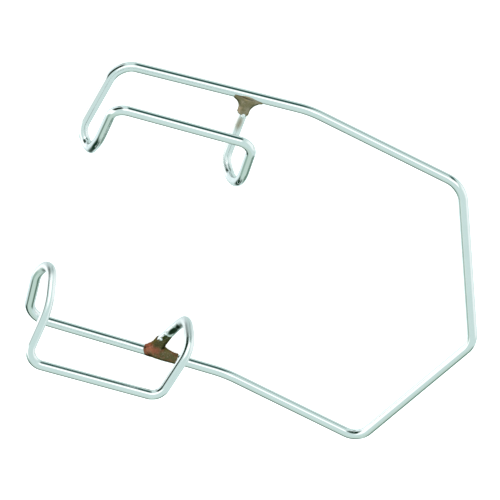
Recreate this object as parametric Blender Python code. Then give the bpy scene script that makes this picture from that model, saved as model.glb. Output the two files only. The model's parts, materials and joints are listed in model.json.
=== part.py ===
"""Wire eyelid speculum: a spring of one bent steel wire with two open wire blades.

The instrument lies on its two blade arms. +X runs from the blades to the spring's apex,
+Y is the side of the "upper" blade, and +Z is the side of the lid bars.
The one wire is cut into straight runs and bends, so that the spring can flex at the
joints and each run keeps its own simple solid. All lengths are millimetres until MM.
"""

from math import acos, ceil, cos, pi, radians, sin, tan
from typing import NamedTuple

import bmesh
import bpy
from mathutils import Matrix, Vector

MM = 0.001

# The wire
WIRE_RADIUS = 0.475
WIRE_SIDES = 16
WIRE_FLAT_RADIUS = WIRE_RADIUS * cos(pi / WIRE_SIDES)    # from the centre line to a facet
SECTION_GAP = 0.03          # clearance between neighbouring sections of the wire
ARC_STEP = radians(12.0)    # turn of the wire from one ring to the next

# The two blade arms, which the instrument lies on
ARM_HALF_SPREAD_FRONT = 14.80
ARM_HALF_SPREAD_REAR = 15.27
ARM_CORNER_BEND = 2.40
ARM_REAR_BEND = 6.00

# The two lid bars, parallel to each other and above the arms
BAR_HALF_SPREAD = 14.80
BAR_HEIGHT = 8.30
BAR_CORNER_BEND = 1.45

# The spring frame behind the arms, flat and tilted up from them
FRAME_TILT = radians(21.7)
SHOULDER_HALF_SPREAD = 15.20
SHOULDER_BEND = 2.30
APEX_REACH = 22.20
APEX_BEND = 2.30

# The brazed joints between the blade's loose end and its arm
BRAZE_CLEARANCE = 0.02
BRAZE_HEIGHT = 2.25
BRAZE_NECK_RADIUS = 0.60
BRAZE_FOOT_HALF_LENGTH = 1.65
BRAZE_FOOT_HALF_WIDTH = 0.66
BRAZE_FLARE_POWER = 2.6        # how quickly the foot narrows to the neck
BRAZE_SIDES = 24
BRAZE_RINGS = 12

# Cutters reach past the body that they cut
CUTTER_SIDES = 24
CUTTER_OVERRUN = 3.0


class Side(NamedTuple):
    """What differs between the two hand-bent sides of the instrument."""

    name: str
    sign: int                 # +1 on the +Y side, -1 on the -Y side
    arm_length: float
    shank_length: float
    bar_length: float
    front_hook: tuple         # bends from the arm to the bar: along, inset, height, radius
    rear_hook: tuple          # bends from the bar to the arm: along, inset, height, radius
    foot_along: float         # where the loose end meets the arm
    braze_lean: float         # how far the braze's foot is shifted along the arm
    braze_start: float        # height above the arm's axis at which the braze begins


UPPER = Side(
    name="upper",
    sign=1,
    arm_length=19.10,
    shank_length=16.40,
    bar_length=13.80,
    front_hook=((-0.95, 6.75, 2.10, 3.40), (-0.42, 8.42, 3.25, 0.90), (0.02, 5.35, 6.00, 3.90)),
    rear_hook=((14.12, 5.85, 6.50, 4.40), (13.45, 6.95, 3.25, 1.45), (12.65, 6.00, 1.90, 1.85)),
    foot_along=13.10,
    braze_lean=0.35,
    braze_start=0.22,
)

LOWER = Side(
    name="lower",
    sign=-1,
    arm_length=19.95,
    shank_length=14.45,
    bar_length=13.40,
    front_hook=((-0.80, 6.20, 2.30, 4.00), (0.02, 8.40, 3.25, 0.95), (0.78, 5.20, 6.12, 4.00)),
    rear_hook=((15.05, 4.95, 6.15, 3.10), (14.20, 6.10, 3.45, 1.35), (13.90, 4.88, 2.08, 4.05)),
    foot_along=12.35,
    braze_lean=0.80,
    braze_start=-0.28,
)


# ---------------------------------------------------------------- materials

def metal(name, colour, roughness, metallic):
    material = bpy.data.materials.new(name)
    material.use_nodes = True
    shader = material.node_tree.nodes["Principled BSDF"]
    shader.inputs["Base Color"].default_value = (*colour, 1.0)
    shader.inputs["Roughness"].default_value = roughness
    shader.inputs["Metallic"].default_value = metallic
    material.diffuse_color = (*colour, 1.0)
    return material


# ---------------------------------------------------------------- the wire's route

def rounded_corner(before, corner, after, radius):
    """Points of the arc that rounds a corner, from one tangent point to the other."""
    to_before = (before - corner).normalized()
    to_after = (after - corner).normalized()
    inner_angle = acos(to_before.dot(to_after))
    tangent_length = radius / tan(inner_angle / 2)
    middle = (to_before + to_after).normalized()
    centre = corner + middle * (radius / sin(inner_angle / 2))
    start = corner + to_before * tangent_length - centre
    end = corner + to_after * tangent_length - centre
    turn = pi - inner_angle
    steps = max(2, ceil(turn / ARC_STEP))
    points = []
    for step in range(steps + 1):
        share = step / steps
        spoke = (start * sin((1 - share) * turn) + end * sin(share * turn)) / sin(turn)
        points.append(centre + spoke)
    return points


def rounded_corners(corners, radii):
    """One arc for each inner corner of a route; the two ends have none."""
    arcs = []
    for index, radius in enumerate(radii):
        arcs.append(rounded_corner(corners[index], corners[index + 1], corners[index + 2], radius))
    return arcs


def frame_corner(base_along, reach, across):
    """A point of the tilted spring frame, measured from the arms' rear bends."""
    return Vector((base_along + reach * cos(FRAME_TILT), across, reach * sin(FRAME_TILT)))


def hook_corner(side, bend):
    along, inset, height, _ = bend
    return Vector((along, side.sign * (ARM_HALF_SPREAD_FRONT - inset), height))


def arm_front(side):
    return Vector((0.0, side.sign * ARM_HALF_SPREAD_FRONT, 0.0))


def arm_rear(side):
    return Vector((side.arm_length, side.sign * ARM_HALF_SPREAD_REAR, 0.0))


def shoulder(side):
    return frame_corner(side.arm_length, side.shank_length, side.sign * SHOULDER_HALF_SPREAD)


def apex():
    middle = (UPPER.arm_length + LOWER.arm_length) / 2
    return frame_corner(middle, APEX_REACH, 0.0)


def foot_on_arm(side):
    """Where the loose end's centre line meets the arm's centre line."""
    share = side.foot_along / side.arm_length
    return arm_front(side).lerp(arm_rear(side), share)


def side_route(side):
    """Corners and bend radii of one side, from the spring's apex to the brazed end."""
    bar_front = Vector((0.0, side.sign * BAR_HALF_SPREAD, BAR_HEIGHT))
    bar_rear = Vector((side.bar_length, side.sign * BAR_HALF_SPREAD, BAR_HEIGHT))
    corners = [apex(), shoulder(side), arm_rear(side), arm_front(side)]
    corners += [hook_corner(side, bend) for bend in side.front_hook]
    corners += [bar_front, bar_rear]
    corners += [hook_corner(side, bend) for bend in side.rear_hook]
    corners += [foot_on_arm(side)]
    radii = [SHOULDER_BEND, ARM_REAR_BEND, ARM_CORNER_BEND]
    radii += [bend[3] for bend in side.front_hook]
    radii += [BAR_CORNER_BEND, BAR_CORNER_BEND]
    radii += [bend[3] for bend in side.rear_hook]
    return corners, radii


# ---------------------------------------------------------------- solids

def ring_frames(points):
    """A centre and two cross directions at each point, carried along without twist."""
    frames = []
    previous = None
    for index, point in enumerate(points):
        tangent = Vector((0.0, 0.0, 0.0))
        if index > 0:
            tangent += (point - points[index - 1]).normalized()
        if index < len(points) - 1:
            tangent += (points[index + 1] - point).normalized()
        tangent.normalize()
        reference = previous if previous else Vector((0.0, 0.0, 1.0))
        normal = (reference - tangent * reference.dot(tangent)).normalized()
        previous = normal
        frames.append((point, normal, tangent.cross(normal)))
    return frames


def loft(rings):
    """A closed solid through equal rings of points, with flat ends."""
    mesh = bmesh.new()
    rows = [[mesh.verts.new(point) for point in ring] for ring in rings]
    count = len(rows[0])
    for lower, upper in zip(rows, rows[1:]):
        for index in range(count):
            following = (index + 1) % count
            mesh.faces.new((lower[index], lower[following], upper[following], upper[index]))
    mesh.faces.new(reversed(rows[0]))
    mesh.faces.new(rows[-1])
    bmesh.ops.recalc_face_normals(mesh, faces=mesh.faces)
    return mesh


def wire_solid(points, radius=WIRE_RADIUS, sides=WIRE_SIDES):
    """A faceted wire along a route, with one facet square to the first cross direction."""
    rings = []
    for centre, normal, binormal in ring_frames(points):
        ring = []
        for index in range(sides):
            angle = 2 * pi * (index + 0.5) / sides
            ring.append(centre + (normal * cos(angle) + binormal * sin(angle)) * radius)
        rings.append(ring)
    return loft(rings)


def straight_run(start, end):
    """A straight section between two bends, short of both by the clearance."""
    direction = (end - start).normalized() * SECTION_GAP
    return wire_solid([start + direction, end - direction])


def braze_solid(side):
    """The fillet's outer form: a foot along the arm that narrows to a sleeve on the leg."""
    arm_direction = (arm_rear(side) - arm_front(side)).normalized()
    foot = foot_on_arm(side)
    leg_direction = (hook_corner(side, side.rear_hook[2]) - foot).normalized()
    across = arm_direction.cross(leg_direction).normalized()
    along = leg_direction.cross(across).normalized()
    rings = []
    for row in range(BRAZE_RINGS + 1):
        height = side.braze_start + (BRAZE_HEIGHT - side.braze_start) * row / BRAZE_RINGS
        rise = max(0.0, height) / BRAZE_HEIGHT
        flare = (1 - rise) ** BRAZE_FLARE_POWER
        half_length = BRAZE_NECK_RADIUS + (BRAZE_FOOT_HALF_LENGTH - BRAZE_NECK_RADIUS) * flare
        half_width = BRAZE_NECK_RADIUS + (BRAZE_FOOT_HALF_WIDTH - BRAZE_NECK_RADIUS) * flare
        centre = foot + leg_direction * height + arm_direction * (side.braze_lean * flare)
        ring = []
        for index in range(BRAZE_SIDES):
            angle = 2 * pi * index / BRAZE_SIDES
            ring.append(centre + along * half_length * cos(angle) + across * half_width * sin(angle))
        rings.append(ring)
    return level_underside(loft(rings))


def level_underside(mesh):
    """Takes off what would reach below the arms' lowest facets, and closes the cut."""
    geometry = mesh.verts[:] + mesh.edges[:] + mesh.faces[:]
    bmesh.ops.bisect_plane(
        mesh, geom=geometry, plane_co=(0.0, 0.0, -WIRE_FLAT_RADIUS), plane_no=(0.0, 0.0, 1.0),
        clear_inner=True)
    rim = [edge for edge in mesh.edges if edge.is_boundary]
    bmesh.ops.holes_fill(mesh, edges=rim, sides=0)
    bmesh.ops.recalc_face_normals(mesh, faces=mesh.faces)
    return mesh


# ---------------------------------------------------------------- objects

class Builder:
    """Makes objects, each in the axes of the hinge empty that it moves with."""

    def __init__(self):
        self.parts = []

    def place(self, name, mesh, parent, material):
        """Turns a mesh in instrument axes, millimetres, into an object under its parent."""
        mesh.transform(Matrix.Scale(MM, 4))
        mesh.transform(parent.matrix_world.inverted())
        data = bpy.data.meshes.new(name)
        mesh.to_mesh(data)
        mesh.free()
        data.shade_smooth()
        data.set_sharp_from_angle(angle=radians(40.0))
        data.materials.append(material)
        part = bpy.data.objects.new(name, data)
        bpy.context.collection.objects.link(part)
        part.parent = parent
        self.parts.append(part)
        return part


def add_empty(name, parent, world):
    empty = bpy.data.objects.new(name, None)
    empty.empty_display_size = MM
    bpy.context.collection.objects.link(empty)
    empty.parent = parent
    empty.matrix_world = world
    bpy.context.view_layer.update()
    return empty


def hinge_matrix(position, axis):
    turn = Vector((0.0, 0.0, 1.0)).rotation_difference(axis).to_matrix().to_4x4()
    return Matrix.Translation(position * MM) @ turn


def cut(builder, target, mesh, parent, material, name):
    """Takes a closed cutter out of a part with a Boolean that stays on the part."""
    cutter = builder.place(name, mesh, parent, material)
    builder.parts.remove(cutter)
    cutter.hide_render = True
    cutter.display_type = 'WIRE'
    boolean = target.modifiers.new(name, 'BOOLEAN')
    boolean.operation = 'DIFFERENCE'
    boolean.solver = 'EXACT'
    boolean.object = cutter


def add_braze(builder, side, parent, braze, steel):
    part = builder.place(f"{side.name}_braze_fillet", braze_solid(side), parent, braze)
    radius = WIRE_RADIUS + BRAZE_CLEARANCE
    foot = foot_on_arm(side)
    arm_direction = (arm_rear(side) - arm_front(side)).normalized()
    leg_direction = (hook_corner(side, side.rear_hook[2]) - foot).normalized()
    arm_points = [foot - arm_direction * CUTTER_OVERRUN, foot + arm_direction * CUTTER_OVERRUN]
    leg_points = [foot + leg_direction * WIRE_RADIUS / 2, foot + leg_direction * CUTTER_OVERRUN]
    arm_cutter = wire_solid(arm_points, radius, CUTTER_SIDES)
    leg_cutter = wire_solid(leg_points, radius, CUTTER_SIDES)
    cut(builder, part, arm_cutter, parent, steel, f"{side.name}_arm_cutter")
    cut(builder, part, leg_cutter, parent, steel, f"{side.name}_leg_cutter")


def add_side(builder, side, root, steel, braze):
    corners, radii = side_route(side)
    arcs = rounded_corners(corners, radii)
    shoulder_arc, arm_bend_arc, arm_corner_arc = arcs[0:3]
    front_hook_arcs = arcs[2:7]
    rear_hook_arcs = arcs[7:11]
    apex_end = apex_arc(side)[-1]

    axis = Vector((-sin(FRAME_TILT), 0.0, cos(FRAME_TILT))) * side.sign
    apex_hinge = add_empty(f"{side.name}_apex_hinge", root, hinge_matrix(apex_end, axis))
    shoulder_hinge = add_empty(
        f"{side.name}_shoulder_hinge", apex_hinge, hinge_matrix(shoulder_arc[0], axis))

    def add(name, mesh, parent):
        builder.place(f"{side.name}_{name}", mesh, parent, steel)

    add("rear_leg", straight_run(apex_end, shoulder_arc[0]), apex_hinge)
    add("shoulder_bend", wire_solid(shoulder_arc), shoulder_hinge)
    add("shank", straight_run(shoulder_arc[-1], arm_bend_arc[0]), shoulder_hinge)
    add("arm_bend", wire_solid(arm_bend_arc), shoulder_hinge)
    add("blade_arm", straight_run(arm_bend_arc[-1], arm_corner_arc[0]), shoulder_hinge)
    add("front_hook", wire_solid(sum(front_hook_arcs, [])), shoulder_hinge)
    add("lid_bar", straight_run(front_hook_arcs[-1][-1], rear_hook_arcs[0][0]), shoulder_hinge)

    foot = corners[-1]
    leg_direction = (rear_hook_arcs[-1][-1] - foot).normalized()
    leg_end = foot + leg_direction * (WIRE_RADIUS + SECTION_GAP)
    add("rear_hook", wire_solid(sum(rear_hook_arcs, []) + [leg_end]), shoulder_hinge)
    add_braze(builder, side, shoulder_hinge, braze, steel)


def apex_arc(side):
    """The spring's apex bend, ending on the given side."""
    other = LOWER if side is UPPER else UPPER
    return rounded_corner(shoulder(other), apex(), shoulder(side), APEX_BEND)


def stand_on_origin(parts, root):
    """Moves the instrument so that its box is centred on the origin and stands on Z = 0."""
    bpy.context.view_layer.update()
    depsgraph = bpy.context.evaluated_depsgraph_get()
    points = []
    for part in parts:
        evaluated = part.evaluated_get(depsgraph)
        points += [part.matrix_world @ vertex.co for vertex in evaluated.data.vertices]
    low = Vector([min(point[axis] for point in points) for axis in range(3)])
    high = Vector([max(point[axis] for point in points) for axis in range(3)])
    root.location = Vector((-(low.x + high.x) / 2, -(low.y + high.y) / 2, -low.z))
    bpy.context.view_layer.update()


def main():
    for existing in list(bpy.data.objects):
        bpy.data.objects.remove(existing, do_unlink=True)

    steel = metal("polished_steel", (0.78, 0.81, 0.81), 0.12, 1.0)
    braze = metal("braze_alloy", (0.36, 0.20, 0.13), 0.45, 0.8)
    builder = Builder()
    root = add_empty("speculum_root", None, Matrix.Identity(4))

    builder.place("spring_apex_bend", wire_solid(apex_arc(UPPER)), root, steel)
    for side in (UPPER, LOWER):
        add_side(builder, side, root, steel, braze)
    stand_on_origin(builder.parts, root)


main()
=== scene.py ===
"""Wire eyelid speculum: smooth wire, brazed joints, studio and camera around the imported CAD.

Lengths are millimetres in instrument axes until to_row(), which gives metres in the row frame.
The instrument lies on its two blade arms: +X runs from the blades to the spring's apex, +Y is
the side of the upper blade and +Z the side of the lid bars.
"""

import json
from math import acos, ceil, cos, pi, radians, sin, tan
from typing import NamedTuple

import bmesh
import bpy
import numpy as np
from mathutils import Matrix, Vector, noise


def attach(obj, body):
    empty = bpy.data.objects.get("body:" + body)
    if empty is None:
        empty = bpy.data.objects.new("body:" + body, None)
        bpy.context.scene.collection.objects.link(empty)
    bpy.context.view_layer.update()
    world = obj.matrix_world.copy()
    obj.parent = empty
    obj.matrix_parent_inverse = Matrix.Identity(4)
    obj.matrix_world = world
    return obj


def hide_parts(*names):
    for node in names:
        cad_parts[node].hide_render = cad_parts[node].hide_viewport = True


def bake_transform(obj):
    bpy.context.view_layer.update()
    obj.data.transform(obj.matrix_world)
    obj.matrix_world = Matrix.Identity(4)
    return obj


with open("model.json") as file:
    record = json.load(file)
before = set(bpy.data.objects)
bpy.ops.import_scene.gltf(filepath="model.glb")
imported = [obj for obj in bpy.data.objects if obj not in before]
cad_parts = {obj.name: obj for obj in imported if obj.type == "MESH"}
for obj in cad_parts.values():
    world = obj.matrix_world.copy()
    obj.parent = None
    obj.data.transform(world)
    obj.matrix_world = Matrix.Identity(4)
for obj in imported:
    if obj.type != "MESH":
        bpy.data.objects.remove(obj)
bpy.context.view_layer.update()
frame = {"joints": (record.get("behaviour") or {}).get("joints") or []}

MM = 0.001
Z_AXIS = Vector((0.0, 0.0, 1.0))

# The wire and its route
WIRE_RADIUS = 0.486
WIRE_SIDES = 48
ARC_STEP = radians(2.5)
RUN_STEP = 0.20
ARM_HALF_SPREAD_FRONT = 14.80
ARM_HALF_SPREAD_REAR = 15.27
ARM_CORNER_BEND = 2.40
ARM_REAR_BEND = 6.00
BAR_HALF_SPREAD = 14.80
BAR_HEIGHT = 8.30
BAR_CORNER_BEND = 1.45
FRAME_TILT = radians(21.7)
SHOULDER_HALF_SPREAD = 15.20
SHOULDER_BEND = 2.30
APEX_REACH = 22.20
APEX_BEND = 2.30

# The brazed joints
BRAZE_SKIN = 0.045             # alloy that only wets the wire
BRAZE_DRY_INSET = 0.06         # where nothing wets the wire, the body stays this far inside it
BRAZE_LUMP = 0.022
BRAZE_LUMP_SIZE = 0.42
BRAZE_EDGE_WAVER = 0.14
BRAZE_EDGE_WAVER_SIZE = 0.75
BRAZE_EDGE_ROUND = 0.10
BRAZE_MIDDLE_HEIGHT = 0.2      # where the rays start: this far up the leg,
BRAZE_MIDDLE_LEAN = 0.7        # and this share of the fillet's lean along the arm
BRAZE_RAY_STRETCH = 1.8        # more surface points towards the foot's two ends
BRAZE_REACH = 4.5              # no alloy beyond this distance from the middle
BRAZE_HALVINGS = 16
BRAZE_UNDERCUT = 0.45          # how much shorter the foot is on the arm's far side

# A bead's half sizes along the leg, across it and out of it, and its lumps
BEAD_LENGTH = 0.27
BEAD_WIDTH = 0.19
BEAD_RISE = 0.17
BEAD_LUMP = 0.18
BEAD_LUMP_SCALE = 1.6

# The wire's finish: the channels of its attribute (a brown patch, painted dark reflection and
# satin), and how far its marks and satin spread
TINT = 0
PAINTED_REFLECTION = 1
SATIN = 2
MARK_REACH = 0.50
MARK_STRETCH = 0.55            # marks are longer along the leg than across it
TIP_REACH = 1.3                # satin is full to 1.56 mm from a hook's tip, gone at 2.86 mm
TIP_FADE = 2.2

# Half the floor's width, in metres
FLOOR_REACH = 0.5


class Side(NamedTuple):
    """What differs between the two hand-bent sides of the instrument."""

    name: str
    sign: int
    arm_start: float           # how far back the arm's front corner is
    arm_length: float          # how far back its rear bend is
    shank_length: float
    bar_length: float
    front_hook: tuple          # each corner's place along, inset, height and bend radius
    rear_hook: tuple
    foot_along: float          # where the brazed end meets the arm
    braze_lean: float          # how far along the arm the fillet's foot is shifted
    braze_half_length: float
    braze_blend: tuple         # how round it is in front of the leg and behind it
    braze_wrap: float          # how far down the arm the alloy wets it
    braze_height: float        # how high it climbs the leg
    braze_tail: tuple          # a turn round the leg in degrees, and how much higher it is there
    beads: tuple               # each one's turn round the leg and height
    pale: float                # 1 for grey alloy, 0 for brown
    marks: tuple               # each one's turn, height, channel and strength
    tip_satin: tuple           # at the front hook's tip and the rear hook's


UPPER = Side(
    name="upper",
    sign=1,
    arm_start=0.22,
    arm_length=19.10,
    shank_length=16.40,
    bar_length=13.80,
    front_hook=((-1.36, 6.75, 2.10, 1.80), (-0.17, 8.42, 3.25, 1.28), (0.02, 5.35, 6.00, 8.00)),
    rear_hook=((14.12, 5.85, 6.50, 4.40), (13.45, 6.95, 3.25, 1.45), (12.65, 6.00, 1.90, 1.85)),
    foot_along=13.10,
    braze_lean=0.0,
    braze_half_length=1.42,
    braze_blend=(1.25, 1.35),
    braze_wrap=-0.30,
    braze_height=1.90,
    braze_tail=(-100.0, 0.10),
    beads=((-82.0, 1.97),),
    pale=1.0,
    marks=((-92.0, 2.80, TINT, 0.85),),
    tip_satin=(0.3, 0.5),
)

LOWER = Side(
    name="lower",
    sign=-1,
    arm_start=0.0,
    arm_length=19.95,
    shank_length=14.45,
    bar_length=13.40,
    front_hook=((-0.80, 6.20, 2.30, 4.00), (0.10, 8.68, 3.25, 1.12), (0.78, 5.20, 6.12, 7.00)),
    rear_hook=((15.05, 4.95, 6.15, 3.10), (14.20, 6.22, 3.45, 1.40), (13.90, 4.88, 2.08, 4.05)),
    foot_along=12.35,
    braze_lean=1.0,
    braze_half_length=1.74,
    braze_blend=(0.8, 2.0),
    braze_wrap=0.42,
    braze_height=2.20,
    braze_tail=(88.0, 1.55),
    beads=((132.0, 2.82), (140.0, 3.76)),
    pale=0.0,
    # Two painted dark reflections on the lower leg, above its fillet
    marks=((106.0, 4.68, PAINTED_REFLECTION, 1.0), (102.0, 5.90, PAINTED_REFLECTION, 0.7)),
    tip_satin=(0.9, 1.0),
)


# ---------------------------------------------------------------- the wire's route

def rounded_corner(before, corner, after, radius):
    """Points of the arc that rounds a corner, from one tangent point to the other."""
    to_before = (before - corner).normalized()
    to_after = (after - corner).normalized()
    inner_angle = acos(to_before.dot(to_after))
    tangent_length = radius / tan(inner_angle / 2)
    middle = (to_before + to_after).normalized()
    centre = corner + middle * (radius / sin(inner_angle / 2))
    start = corner + to_before * tangent_length - centre
    end = corner + to_after * tangent_length - centre
    turn = pi - inner_angle
    steps = 2 * ceil(turn / ARC_STEP / 2)
    points = []
    for step in range(steps + 1):
        share = step / steps
        spoke = (start * sin((1 - share) * turn) + end * sin(share * turn)) / sin(turn)
        points.append(centre + spoke)
    return points


def frame_corner(base_along, reach, across):
    """A point of the tilted spring frame, measured from the arms' rear bends."""
    return Vector((base_along + reach * cos(FRAME_TILT), across, reach * sin(FRAME_TILT)))


def hook_corner(side, bend):
    along, inset, height, _ = bend
    return Vector((along, side.sign * (ARM_HALF_SPREAD_FRONT - inset), height))


def arm_front(side):
    return Vector((side.arm_start, side.sign * ARM_HALF_SPREAD_FRONT, 0.0))


def arm_rear(side):
    return Vector((side.arm_length, side.sign * ARM_HALF_SPREAD_REAR, 0.0))


def shoulder(side):
    return frame_corner(side.arm_length, side.shank_length, side.sign * SHOULDER_HALF_SPREAD)


def apex():
    middle = (UPPER.arm_length + LOWER.arm_length) / 2
    return frame_corner(middle, APEX_REACH, 0.0)


def apex_half(side):
    """The spring's apex bend from its middle to its end on one side."""
    other = LOWER if side is UPPER else UPPER
    arc = rounded_corner(shoulder(other), apex(), shoulder(side), APEX_BEND)
    return arc[len(arc) // 2:]


def foot_on_arm(side):
    """Where the loose end's centre line meets the arm's centre line."""
    share = (side.foot_along - side.arm_start) / (side.arm_length - side.arm_start)
    return arm_front(side).lerp(arm_rear(side), share)


def side_corners(side):
    """Corners and bend radii of one side, from the spring's apex to the brazed end."""
    bar_front = Vector((0.0, side.sign * BAR_HALF_SPREAD, BAR_HEIGHT))
    bar_rear = Vector((side.bar_length, side.sign * BAR_HALF_SPREAD, BAR_HEIGHT))
    corners = [apex(), shoulder(side), arm_rear(side), arm_front(side)]
    corners += [hook_corner(side, bend) for bend in side.front_hook]
    corners += [bar_front, bar_rear]
    corners += [hook_corner(side, bend) for bend in side.rear_hook]
    corners += [foot_on_arm(side)]
    radii = [SHOULDER_BEND, ARM_REAR_BEND, ARM_CORNER_BEND]
    radii += [bend[3] for bend in side.front_hook]
    radii += [BAR_CORNER_BEND, BAR_CORNER_BEND]
    radii += [bend[3] for bend in side.rear_hook]
    return corners, radii


def leg_axes(side):
    """The brazed leg's direction, and two directions across it: nearest the arm's, and square."""
    arm = (arm_rear(side) - arm_front(side)).normalized()
    leg = (hook_corner(side, side.rear_hook[2]) - foot_on_arm(side)).normalized()
    across = arm.cross(leg).normalized()
    return leg, leg.cross(across).normalized(), across


def extend_run(points, end):
    """Adds a straight run to a route in even steps, and says how many points it added."""
    start = points[-1]
    steps = max(1, ceil((end - start).length / RUN_STEP))
    for step in range(1, steps + 1):
        points.append(start.lerp(end, step / steps))
    return steps


def side_centre_line(side):
    """The smooth centre line of one side, and where its leg's and shank's middles are."""
    corners, radii = side_corners(side)
    points = apex_half(side)
    middles = []
    for index, radius in enumerate(radii):
        arc = rounded_corner(corners[index], corners[index + 1], corners[index + 2], radius)
        added = extend_run(points, arc[0])
        if index < 2:
            middles.append(len(points) - 1 - added // 2)
        points += arc[1:]
    extend_run(points, corners[-1])
    return points, middles


# ---------------------------------------------------------------- the row frame

def row_shift():
    """From instrument axes to the row frame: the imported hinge's place says how far."""
    hinge = next(j for j in frame["joints"] if j["name"] == "upper_apex_flex")
    return Vector(hinge["pos_m"]) / MM - apex_half(UPPER)[-1]


ROW_SHIFT = row_shift()
TO_ROW = Matrix.Scale(MM, 4) @ Matrix.Translation(ROW_SHIFT)


# ---------------------------------------------------------------- meshes

def new_object(name, mesh, *materials):
    """Turns a mesh in instrument axes into an object in the row frame."""
    mesh.transform(TO_ROW)
    data = bpy.data.meshes.new(name)
    mesh.to_mesh(data)
    mesh.free()
    for material in materials:
        data.materials.append(material)
    made = bpy.data.objects.new(name, data)
    bpy.context.scene.collection.objects.link(made)
    return made


def carried_frames(points):
    """A centre, tangent and two cross directions at each point, carried without twist."""
    frames = []
    normal = Vector((-sin(FRAME_TILT), 0.0, cos(FRAME_TILT)))
    for index, point in enumerate(points):
        tangent = Vector((0.0, 0.0, 0.0))
        if index > 0:
            tangent += (point - points[index - 1]).normalized()
        if index < len(points) - 1:
            tangent += (points[index + 1] - point).normalized()
        if index == 0:
            tangent = Vector((0.0, 1.0 if points[-1].y > 0 else -1.0, 0.0))
        tangent.normalize()
        normal = (normal - tangent * normal.dot(tangent)).normalized()
        frames.append((point, tangent, normal, tangent.cross(normal)))
    return frames


def wire_piece(name, frames, first, last, distances, finish, steel):
    """A closed tube through rings first to last, with the true normals of a round wire."""
    mesh = bmesh.new()
    run_layer = mesh.verts.layers.float_vector.new("wire_run")
    finish_layer = mesh.verts.layers.float_vector.new("wire_finish")
    rows = []
    normals = []
    for index in range(first, last + 1):
        centre, _, normal, binormal = frames[index]
        row = []
        for facet in range(WIRE_SIDES):
            angle = 2 * pi * facet / WIRE_SIDES
            outward = normal * cos(angle) + binormal * sin(angle)
            vert = mesh.verts.new(centre + outward * WIRE_RADIUS)
            vert[run_layer] = Vector((distances[index], cos(angle), sin(angle)))
            vert[finish_layer] = finish(vert.co, centre)
            normals.append(outward)
            row.append(vert)
        rows.append(row)
    for lower, upper in zip(rows, rows[1:]):
        for facet in range(WIRE_SIDES):
            following = (facet + 1) % WIRE_SIDES
            face = mesh.faces.new((lower[facet], lower[following], upper[following], upper[facet]))
            face.smooth = True
    mesh.faces.new(reversed(rows[0]))
    mesh.faces.new(rows[-1])
    made = new_object(name, mesh, steel)
    made.data.normals_split_custom_set_from_vertices([tuple(n) for n in normals])
    return made


def run_lengths(points):
    distances = [0.0]
    for before, after in zip(points, points[1:]):
        distances.append(distances[-1] + (after - before).length)
    return distances


def flex(piece):
    """Bakes a piece's transform into its mesh; the piece is not bent."""
    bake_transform(piece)


def wire_finish(side):
    """How tinted, how dark with painted reflection and how satin the wire is at a point of its
    surface.
    """
    foot = foot_on_arm(side)
    leg, along, across = leg_axes(side)
    spots = []
    for turn, height, kind, strength in side.marks:
        outward = along * cos(radians(turn)) + across * sin(radians(turn))
        spots.append((foot + leg * height + outward * WIRE_RADIUS, kind, strength))
    tips = (hook_corner(side, side.front_hook[1]), hook_corner(side, side.rear_hook[1]))

    def finish_at(point, centre):
        finish = [0.0, 0.0, 0.0]
        for spot, kind, strength in spots:
            offset = point - spot
            offset -= leg * offset.dot(leg) * MARK_STRETCH
            finish[kind] = max(finish[kind], strength * (1.0 - offset.length / MARK_REACH))
        for tip, strength in zip(tips, side.tip_satin):
            near = min(1.0, max(0.0, TIP_FADE - (centre - tip).length / TIP_REACH))
            finish[SATIN] = max(finish[SATIN], strength * near)
        return Vector(finish)

    return finish_at


def add_wire(side, steel):
    points, (leg_middle, shank_middle) = side_centre_line(side)
    frames = carried_frames(points)
    distances = run_lengths(points)
    finish = wire_finish(side)
    last = len(points) - 1
    name = side.name

    spring = wire_piece(f"{name}_spring_wire", frames, 0, leg_middle, distances, finish, steel)
    flex(spring)

    bend = wire_piece(f"{name}_shoulder_wire", frames, leg_middle, shank_middle, distances,
                      finish, steel)
    corners, _ = side_corners(side)
    flex(bend)

    blade = wire_piece(f"{name}_blade_wire", frames, shank_middle, last, distances, finish, steel)
    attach(blade, f"{name}_blade")

    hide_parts("spring_apex_bend", f"{name}_rear_leg")
    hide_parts(f"{name}_shoulder_bend", f"{name}_shank")
    kept = ("arm_bend", "blade_arm", "front_hook", "lid_bar", "rear_hook")
    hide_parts(*[f"{name}_{part}" for part in kept])


def soft_minimum(first, second, width, strength=1.0):
    """The smaller of two distances, rounded off over a width where they are close."""
    overlap = np.maximum(width - np.abs(first - second), 0.0) / width
    return np.minimum(first, second) - strength * overlap * overlap * width / 4


def ramp(value, low, high):
    share = np.clip((value - low) / (high - low), 0.0, 1.0)
    return share * share * (3 - 2 * share)


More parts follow.
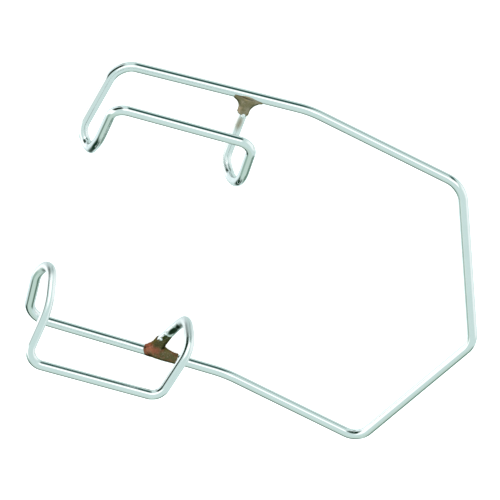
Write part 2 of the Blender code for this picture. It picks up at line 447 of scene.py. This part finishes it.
class Fillet:
    """The alloy of one brazed joint, as a signed distance in millimetres."""

    def __init__(self, side):
        self.side = side
        self.foot = np.array(foot_on_arm(side))
        self.arm = np.array((arm_rear(side) - arm_front(side)).normalized())
        self.leg, self.along, self.across = (np.array(axis) for axis in leg_axes(side))
        up = self.leg * BRAZE_MIDDLE_HEIGHT
        self.middle = self.foot + up + self.arm * side.braze_lean * BRAZE_MIDDLE_LEAN

    def on_leg(self, turn, height):
        """A point of the leg's surface, and the way out of it."""
        outward = self.along * cos(turn) + self.across * sin(turn)
        return self.foot + self.leg * height + outward * WIRE_RADIUS, outward

    def waver(self, points, size):
        return np.array([noise.noise(Vector(point) / size) for point in points])

    def distance(self, points):
        """How far points are outside the alloy: negative inside it."""
        side = self.side
        offset = points - self.foot
        run = offset @ self.arm
        height = offset @ self.leg
        to_arm = np.linalg.norm(offset - np.outer(run, self.arm), axis=1) - WIRE_RADIUS
        above = np.maximum(height, 0.0)
        to_leg = np.linalg.norm(offset - np.outer(above, self.leg), axis=1) - WIRE_RADIUS
        rough = self.waver(points, BRAZE_LUMP_SIZE)

        # A skin on the wire that thins downwards and thickens at its top
        skin = BRAZE_SKIN * (0.4 + 0.6 * ramp(height, -side.braze_wrap - 0.1, 0.3))
        skin += BRAZE_SKIN * ramp(height, side.braze_height - 0.6, side.braze_height)
        skin += BRAZE_LUMP * rough

        # Leg and arm blended together, with the skin wherever the alloy wets them
        wet = ramp(height, -side.braze_wrap - 0.12, -side.braze_wrap)
        before, after = side.braze_blend
        width = before + (after - before) * ramp(offset @ self.along, -0.4, 0.4)
        body = soft_minimum(to_arm, to_leg, width, ramp(height, -0.2, 0.7))
        body += BRAZE_DRY_INSET * (1 - wet) - skin * wet

        # Cut off along the arm, up the leg and at the wire's underside, with soft edges
        waver = BRAZE_EDGE_WAVER * self.waver(points, BRAZE_EDGE_WAVER_SIZE)
        ends = np.abs(run - side.braze_lean) - side.braze_half_length + waver
        ends += BRAZE_UNDERCUT * ramp(height, 0.35, -0.35)
        turn = np.arctan2(offset @ self.across, offset @ self.along)
        tail_turn, tail_reach = side.braze_tail
        tail = tail_reach * ramp(np.cos(turn - radians(tail_turn)), 0.35, 0.85)
        neck = height - side.braze_height - tail + waver
        for cut in (-ends, -neck, WIRE_RADIUS + points[:, 2]):
            body = -soft_minimum(-body, cut, BRAZE_EDGE_ROUND)
        return body

    def surface(self, directions):
        """Where rays from the middle leave the alloy."""
        inner = np.zeros(len(directions))
        outer = np.full(len(directions), BRAZE_REACH)
        for _ in range(BRAZE_HALVINGS):
            reach = (inner + outer) / 2
            inside = self.distance(self.middle + directions * reach[:, None]) < 0
            inner = np.where(inside, reach, inner)
            outer = np.where(inside, outer, reach)
        return self.middle + directions * inner[:, None]


def add_bead(mesh, fillet, turn, height, bead_layer, pale_layer):
    """A bright drop of alloy that froze on the leg, longer along it than across."""
    centre, outward = fillet.on_leg(radians(turn), height)
    across = np.cross(fillet.leg, outward)
    drop = bmesh.ops.create_icosphere(mesh, subdivisions=3, radius=1.0)
    for vert in drop["verts"]:
        lump = 1 + BEAD_LUMP * noise.noise(vert.co * BEAD_LUMP_SCALE + Vector(centre))
        run, breadth, rise = vert.co * lump
        offset = fillet.leg * run * BEAD_LENGTH + across * breadth * BEAD_WIDTH
        vert.co = centre + offset + outward * rise * BEAD_RISE
        vert[bead_layer] = 1.0
        vert[pale_layer] = fillet.side.pale


def add_braze(side, alloy):
    """The fillet's skin: a ball of rays from its middle, each stopped at the alloy's surface."""
    fillet = Fillet(side)
    mesh = bmesh.new()
    bmesh.ops.create_icosphere(mesh, subdivisions=6, radius=1.0)
    directions = np.array([vert.co for vert in mesh.verts])
    directions += np.outer(directions @ fillet.arm, fillet.arm) * (BRAZE_RAY_STRETCH - 1)
    directions /= np.linalg.norm(directions, axis=1)[:, None]
    points = fillet.surface(directions)
    bead_layer = mesh.verts.layers.float.new("bead")
    warm_layer = mesh.verts.layers.float.new("warm")
    painted_dark_layer = mesh.verts.layers.float.new("painted_dark")
    pale_layer = mesh.verts.layers.float.new("pale")
    offset = points - fillet.foot
    run = offset @ fillet.arm
    height = offset @ fillet.leg

    # Warm at the foot's front and low on the leg, a little at the foot's rear end;
    # darker on the outer flank, and a painted dark reflection at the top
    warmth = np.clip((1.9 - run) / 2.4, 0.0, 1.0) * ramp(height, 2.9, 1.0)
    warmth = np.maximum(warmth, 0.35 * ramp(run, 1.5, 2.3) * ramp(height, -0.5, 0.1))
    flank = ramp(offset[:, 1] * side.sign, 0.05, 0.36)
    flank = np.maximum(flank, 0.8 * ramp(height, 2.5, 3.4))
    for vert, point, warm, painted_dark in zip(mesh.verts, points, warmth, flank):
        vert.co = point
        vert[warm_layer] = warm
        vert[painted_dark_layer] = painted_dark
        vert[pale_layer] = side.pale
    for turn, bead_height in side.beads:
        add_bead(mesh, fillet, turn, bead_height, bead_layer, pale_layer)
    for face in mesh.faces:
        face.smooth = True
    made = new_object(f"{side.name}_braze", mesh, alloy)
    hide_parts(f"{side.name}_braze_fillet")
    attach(made, f"{side.name}_blade")


# ---------------------------------------------------------------- materials

class Graph:
    """A node tree, written from its inputs on, one call for each node."""

    def __init__(self, tree):
        self.tree = tree

    def node(self, kind, settings=None, **inputs):
        made = self.tree.nodes.new(kind)
        for key, value in (settings or {}).items():
            setattr(made, key, value)
        for key, value in inputs.items():
            self.feed(made.inputs[key.replace("_", " ")], value)
        return made

    def feed(self, socket, value):
        if isinstance(value, bpy.types.NodeSocket):
            self.tree.links.new(value, socket)
        else:
            socket.default_value = value

    def maths(self, operation, first, second=0.0):
        made = self.tree.nodes.new("ShaderNodeMath")
        made.operation = operation
        self.feed(made.inputs[0], first)
        self.feed(made.inputs[1], second)
        return made.outputs[0]

    def smooth(self, value, low, high, start=0.0, end=1.0):
        """start below low, end above high, and a smooth step between them."""
        made = self.tree.nodes.new("ShaderNodeMapRange")
        made.interpolation_type = "SMOOTHSTEP"
        self.feed(made.inputs["Value"], value)
        made.inputs["From Min"].default_value = low
        made.inputs["From Max"].default_value = high
        made.inputs["To Min"].default_value = start
        made.inputs["To Max"].default_value = end
        return made.outputs["Result"]

    def mix(self, share, first, second):
        made = self.tree.nodes.new("ShaderNodeMix")
        made.data_type = "RGBA"
        self.feed(made.inputs[0], share)
        self.feed(made.inputs[6], first)
        self.feed(made.inputs[7], second)
        return made.outputs[2]


def rgb(red, green, blue):
    return (red, green, blue, 1.0)


def principled(name):
    material = bpy.data.materials.new(name)
    material.use_nodes = True
    return material, Graph(material.node_tree), material.node_tree.nodes["Principled BSDF"]


def polished_steel():
    """Drawn and polished stainless wire: fine lines along it, faint handling marks, and painted
    dark reflections where its marks call for them.
    """
    material, graph, shader = principled("polished_wire_steel")
    run = graph.node("ShaderNodeAttribute", {"attribute_name": "wire_run"}).outputs["Vector"]
    place = graph.node("ShaderNodeTexCoord").outputs["Object"]
    stretched = graph.node("ShaderNodeMapping", Vector=run, Scale=(0.25, 7.0, 7.0)).outputs[0]
    lines = graph.node("ShaderNodeTexNoise", Vector=stretched, Scale=3.0, Detail=4.0).outputs[0]
    smudges = graph.node("ShaderNodeTexNoise", Vector=place, Scale=900.0, Detail=3.0).outputs[0]
    finish = graph.node("ShaderNodeAttribute", {"attribute_name": "wire_finish"}).outputs["Vector"]
    tint, painted_dark, satin = graph.node("ShaderNodeSeparateXYZ", Vector=finish).outputs
    rough = graph.maths("ADD", graph.smooth(smudges, 0.3, 0.75, 0.035, 0.10),
                        graph.smooth(lines, 0.4, 0.75, 0.0, 0.03))
    rough = graph.maths("ADD", rough, graph.maths("MULTIPLY", satin, 0.36))
    tone = graph.mix(smudges, rgb(0.80, 0.835, 0.83), rgb(0.85, 0.88, 0.875))
    patchy = graph.maths("MULTIPLY", graph.smooth(tint, 0.0, 0.8), graph.smooth(smudges, 0.2, 0.6))
    colour = graph.mix(patchy, tone, rgb(0.42, 0.33, 0.22))
    # Painted dark reflection: where the marks' dark channel is high, the wire turns near-black
    painted_dark_share = graph.maths("ADD", painted_dark, graph.smooth(smudges, 0.3, 0.7, -0.15, 0.15))
    colour = graph.mix(graph.smooth(painted_dark_share, 0.25, 0.6), colour, rgb(0.012, 0.035, 0.015))
    bump = graph.node("ShaderNodeBump", Strength=0.05, Distance=0.00001, Height=lines).outputs[0]
    graph.feed(shader.inputs["Base Color"], colour)
    graph.feed(shader.inputs["Roughness"], rough)
    graph.feed(shader.inputs["Normal"], bump)
    shader.inputs["Metallic"].default_value = 1.0
    return material


def braze_alloy():
    """Heat-stained braze: red-brown to olive in soft patches, a lumpy skin and bright beads."""
    material, graph, shader = principled("heat_stained_braze")
    place = graph.node("ShaderNodeTexCoord").outputs["Object"]
    clouds = graph.node("ShaderNodeTexNoise", Vector=place, Scale=1300.0, Detail=3.0).outputs[0]
    grain = graph.node("ShaderNodeTexNoise", Vector=place, Scale=5200.0, Detail=3.0).outputs[0]
    warm = graph.node("ShaderNodeAttribute", {"attribute_name": "warm"}).outputs["Fac"]
    pale = graph.node("ShaderNodeAttribute", {"attribute_name": "pale"}).outputs["Fac"]
    bead = graph.node("ShaderNodeAttribute", {"attribute_name": "bead"}).outputs["Fac"]
    painted_dark = graph.node("ShaderNodeAttribute", {"attribute_name": "painted_dark"}).outputs["Fac"]
    redness = graph.maths("ADD", warm, graph.smooth(clouds, 0.3, 0.7, -0.45, 0.45))
    stained = graph.mix(graph.smooth(redness, 0.0, 1.15),
                        rgb(0.13, 0.11, 0.048), rgb(0.34, 0.105, 0.06))
    # Painted dark reflection at the top of the brown fillet, and darker on its outer flank
    painted_dark_share = graph.maths("ADD", painted_dark, graph.smooth(clouds, 0.3, 0.7, -0.35, 0.35))
    stained = graph.mix(graph.smooth(painted_dark_share, 0.3, 1.1), stained, rgb(0.03, 0.05, 0.012))
    greyed = graph.mix(graph.smooth(clouds, 0.4, 0.65),
                       rgb(0.25, 0.20, 0.11), rgb(0.36, 0.29, 0.20))
    colour = graph.mix(pale, stained, greyed)
    colour = graph.mix(graph.smooth(grain, 0.52, 0.75, 0.0, 0.35), colour, rgb(0.55, 0.40, 0.32))
    colour = graph.mix(bead, colour, rgb(0.88, 0.90, 0.90))
    rough = graph.smooth(grain, 0.3, 0.7, 0.26, 0.42)
    rough = graph.maths("MULTIPLY", rough, graph.smooth(bead, 0.0, 1.0, 1.0, 0.25))
    bump = graph.node("ShaderNodeBump", Strength=0.35, Distance=0.00002, Height=grain).outputs[0]
    graph.feed(shader.inputs["Base Color"], colour)
    graph.feed(shader.inputs["Roughness"], rough)
    graph.feed(shader.inputs["Normal"], bump)
    shader.inputs["Specular Tint"].default_value = rgb(0.30, 0.33, 0.25)
    shader.inputs["Metallic"].default_value = 1.0
    return material


def pale_floor():
    material, graph, shader = principled("pale_floor")
    place = graph.node("ShaderNodeTexCoord").outputs["Object"]
    mottle = graph.node("ShaderNodeTexNoise", Vector=place, Scale=60.0, Detail=2.0).outputs[0]
    tone = graph.mix(mottle, rgb(0.93, 0.93, 0.93), rgb(0.96, 0.96, 0.96))
    graph.feed(shader.inputs["Base Color"], tone)
    shader.inputs["Roughness"].default_value = 0.9
    shader.inputs["Specular IOR Level"].default_value = 0.0
    shader.inputs["Emission Color"].default_value = rgb(1.0, 1.0, 1.0)
    shader.inputs["Emission Strength"].default_value = 0.75
    return material


# ---------------------------------------------------------------- studio

# Soft cards around the object: azimuth and half width, lowest and highest elevation,
# softness of their edges, all in degrees, and the colour that they show.
# A later card covers the ones before it.
STUDIO_BASE = rgb(0.69, 0.85, 0.83)
STUDIO_CARDS = (
    (180, 62, -70, -16, 9, (0.92, 1.04, 1.06)),
    (100, 30, 22, 58, 8, (1.35, 1.40, 1.40)),
    (-162, 24, -40, 38, 8, (1.35, 1.40, 1.40)),
    (20, 28, -40, 24, 12, (1.05, 1.12, 1.12)),
    (-92, 40, -12, 42, 12, (0.60, 0.76, 0.69)),
    (-130, 16, -8, 22, 8, (0.36, 0.52, 0.45)),
    (-52, 14, -26, 10, 6, (0.12, 0.22, 0.16)),
    (82, 9, -34, 18, 7, (0.03, 0.10, 0.085)),
    (133, 8, -52, -36, 5, (0.08, 0.13, 0.09)),
    (146, 25, -20, 26, 7, (0.015, 0.04, 0.025)),
    (-98, 21, -28, 5, 7, (0.010, 0.04, 0.022)),
)


def studio_world():
    """A pale room with soft cards. What the camera sees of it directly is plain and pale."""
    world = bpy.data.worlds.new("studio")
    bpy.context.scene.world = world
    world.use_nodes = True
    graph = Graph(world.node_tree)
    background = world.node_tree.nodes["Background"]
    direction = graph.node("ShaderNodeTexCoord").outputs["Generated"]
    split = graph.node("ShaderNodeSeparateXYZ", Vector=direction)
    across, deep, height = split.outputs
    flat = graph.node("ShaderNodeCombineXYZ", X=across, Y=deep, Z=0.0).outputs[0]
    level = graph.node("ShaderNodeVectorMath", {"operation": "NORMALIZE"})
    graph.feed(level.inputs[0], flat)
    colour = STUDIO_BASE
    for azimuth, half_width, low, high, soft, light in STUDIO_CARDS:
        facing = graph.node("ShaderNodeVectorMath", {"operation": "DOT_PRODUCT"})
        graph.feed(facing.inputs[0], level.outputs[0])
        facing.inputs[1].default_value = (cos(radians(azimuth)), sin(radians(azimuth)), 0.0)
        near = graph.smooth(facing.outputs["Value"], cos(radians(half_width + soft)),
                            cos(radians(max(0, half_width - soft))))
        above = graph.smooth(height, sin(radians(low - soft)), sin(radians(low + soft)))
        below = graph.smooth(height, sin(radians(high - soft)), sin(radians(high + soft)), 1.0, 0.0)
        share = graph.maths("MULTIPLY", near, graph.maths("MULTIPLY", above, below))
        colour = graph.mix(share, colour, rgb(*light))
    seen = graph.node("ShaderNodeLightPath").outputs["Is Camera Ray"]
    graph.feed(background.inputs["Color"], graph.mix(seen, colour, rgb(1.0, 1.0, 1.0)))


def add_floor():
    mesh = bmesh.new()
    level = (ROW_SHIFT.z - WIRE_RADIUS) * MM
    for x, y in ((-1, -1), (1, -1), (1, 1), (-1, 1)):
        mesh.verts.new((x * FLOOR_REACH, y * FLOOR_REACH, level))
    mesh.faces.new(mesh.verts)
    data = bpy.data.meshes.new("floor")
    mesh.to_mesh(data)
    mesh.free()
    data.materials.append(pale_floor())
    floor = bpy.data.objects.new("floor", data)
    bpy.context.scene.collection.objects.link(floor)
    floor.visible_glossy = False


# ---------------------------------------------------------------- camera

# Degrees, and millimetres in the row frame
CAMERA_AZIMUTH = 195.075
CAMERA_ELEVATION = 58.597
CAMERA_ROLL = 177.772
CAMERA_AIM = Vector((-1.9986, 1.1475, 4.5692))
CAMERA_DISTANCE = 2116.56
CAMERA_LENS = 1600.0


def add_camera():
    azimuth, elevation, roll = (radians(a) for a in (CAMERA_AZIMUTH, CAMERA_ELEVATION, CAMERA_ROLL))
    back = Vector((sin(azimuth) * cos(elevation), -cos(azimuth) * cos(elevation), sin(elevation)))
    level_up = (Z_AXIS - back * back.z).normalized()
    level_right = level_up.cross(back)
    right = level_right * cos(roll) - level_up * sin(roll)
    up = level_right * sin(roll) + level_up * cos(roll)
    data = bpy.data.cameras.new("camera")
    data.lens = CAMERA_LENS
    data.sensor_width = 36.0
    data.clip_start = 0.1
    data.clip_end = 10.0
    camera = bpy.data.objects.new("camera", data)
    bpy.context.scene.collection.objects.link(camera)
    turn = Matrix((right, up, back)).transposed().to_4x4()
    camera.matrix_world = Matrix.Translation((CAMERA_AIM + back * CAMERA_DISTANCE) * MM) @ turn
    bpy.context.scene.camera = camera


def main():
    steel = polished_steel()
    alloy = braze_alloy()
    for side in (UPPER, LOWER):
        add_wire(side, steel)
        add_braze(side, alloy)
    add_floor()
    studio_world()
    add_camera()
    bpy.context.scene.view_settings.view_transform = "Standard"


main()
